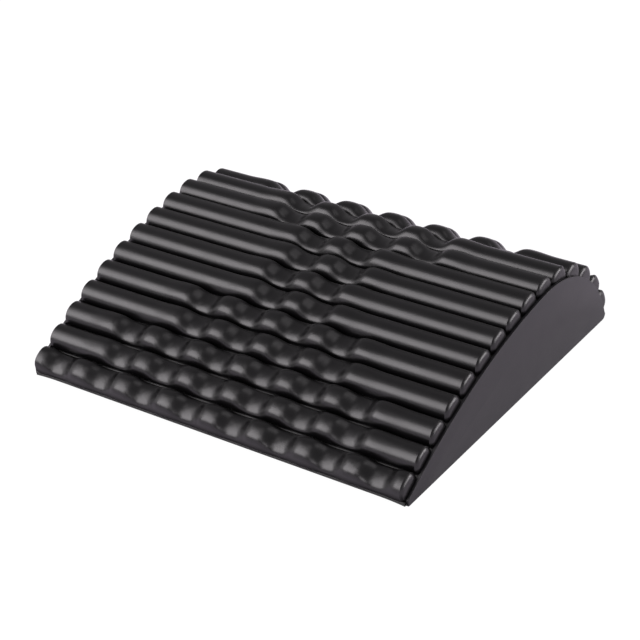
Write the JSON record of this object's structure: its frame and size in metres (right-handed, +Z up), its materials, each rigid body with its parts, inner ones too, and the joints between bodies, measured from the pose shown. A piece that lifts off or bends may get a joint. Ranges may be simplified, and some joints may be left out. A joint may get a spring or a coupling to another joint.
{
  "type": "back stretcher",
  "caption": "Free-standing back stretcher: a low moulded foam arch with half-round ribs across its top, noduled over an hourglass-shaped field, flat sides and a flat underside.",
  "frame": {"origin": "middle of the whole part's box, on the floor that it stands on", "axes": "+X across the width along the ribs, +Y from the low front edge to the steep back, +Z up"},
  "size_m": [0.385, 0.3318, 0.0897],
  "materials": {
    "moulded_skin": "satin self-skinned foam",
    "side_skin": "fine matte self-skinned foam",
    "foam_core": "open-cell foam",
    "base_sheet": "matte non-slip sheet"
  },
  "bodies": {
    "root": {"ribbed_skin": "moulded_skin", "left_side_skin": "side_skin", "right_side_skin": "side_skin", "foam_core": "foam_core", "base_sheet": "base_sheet"}
  },
  "joints": []
}
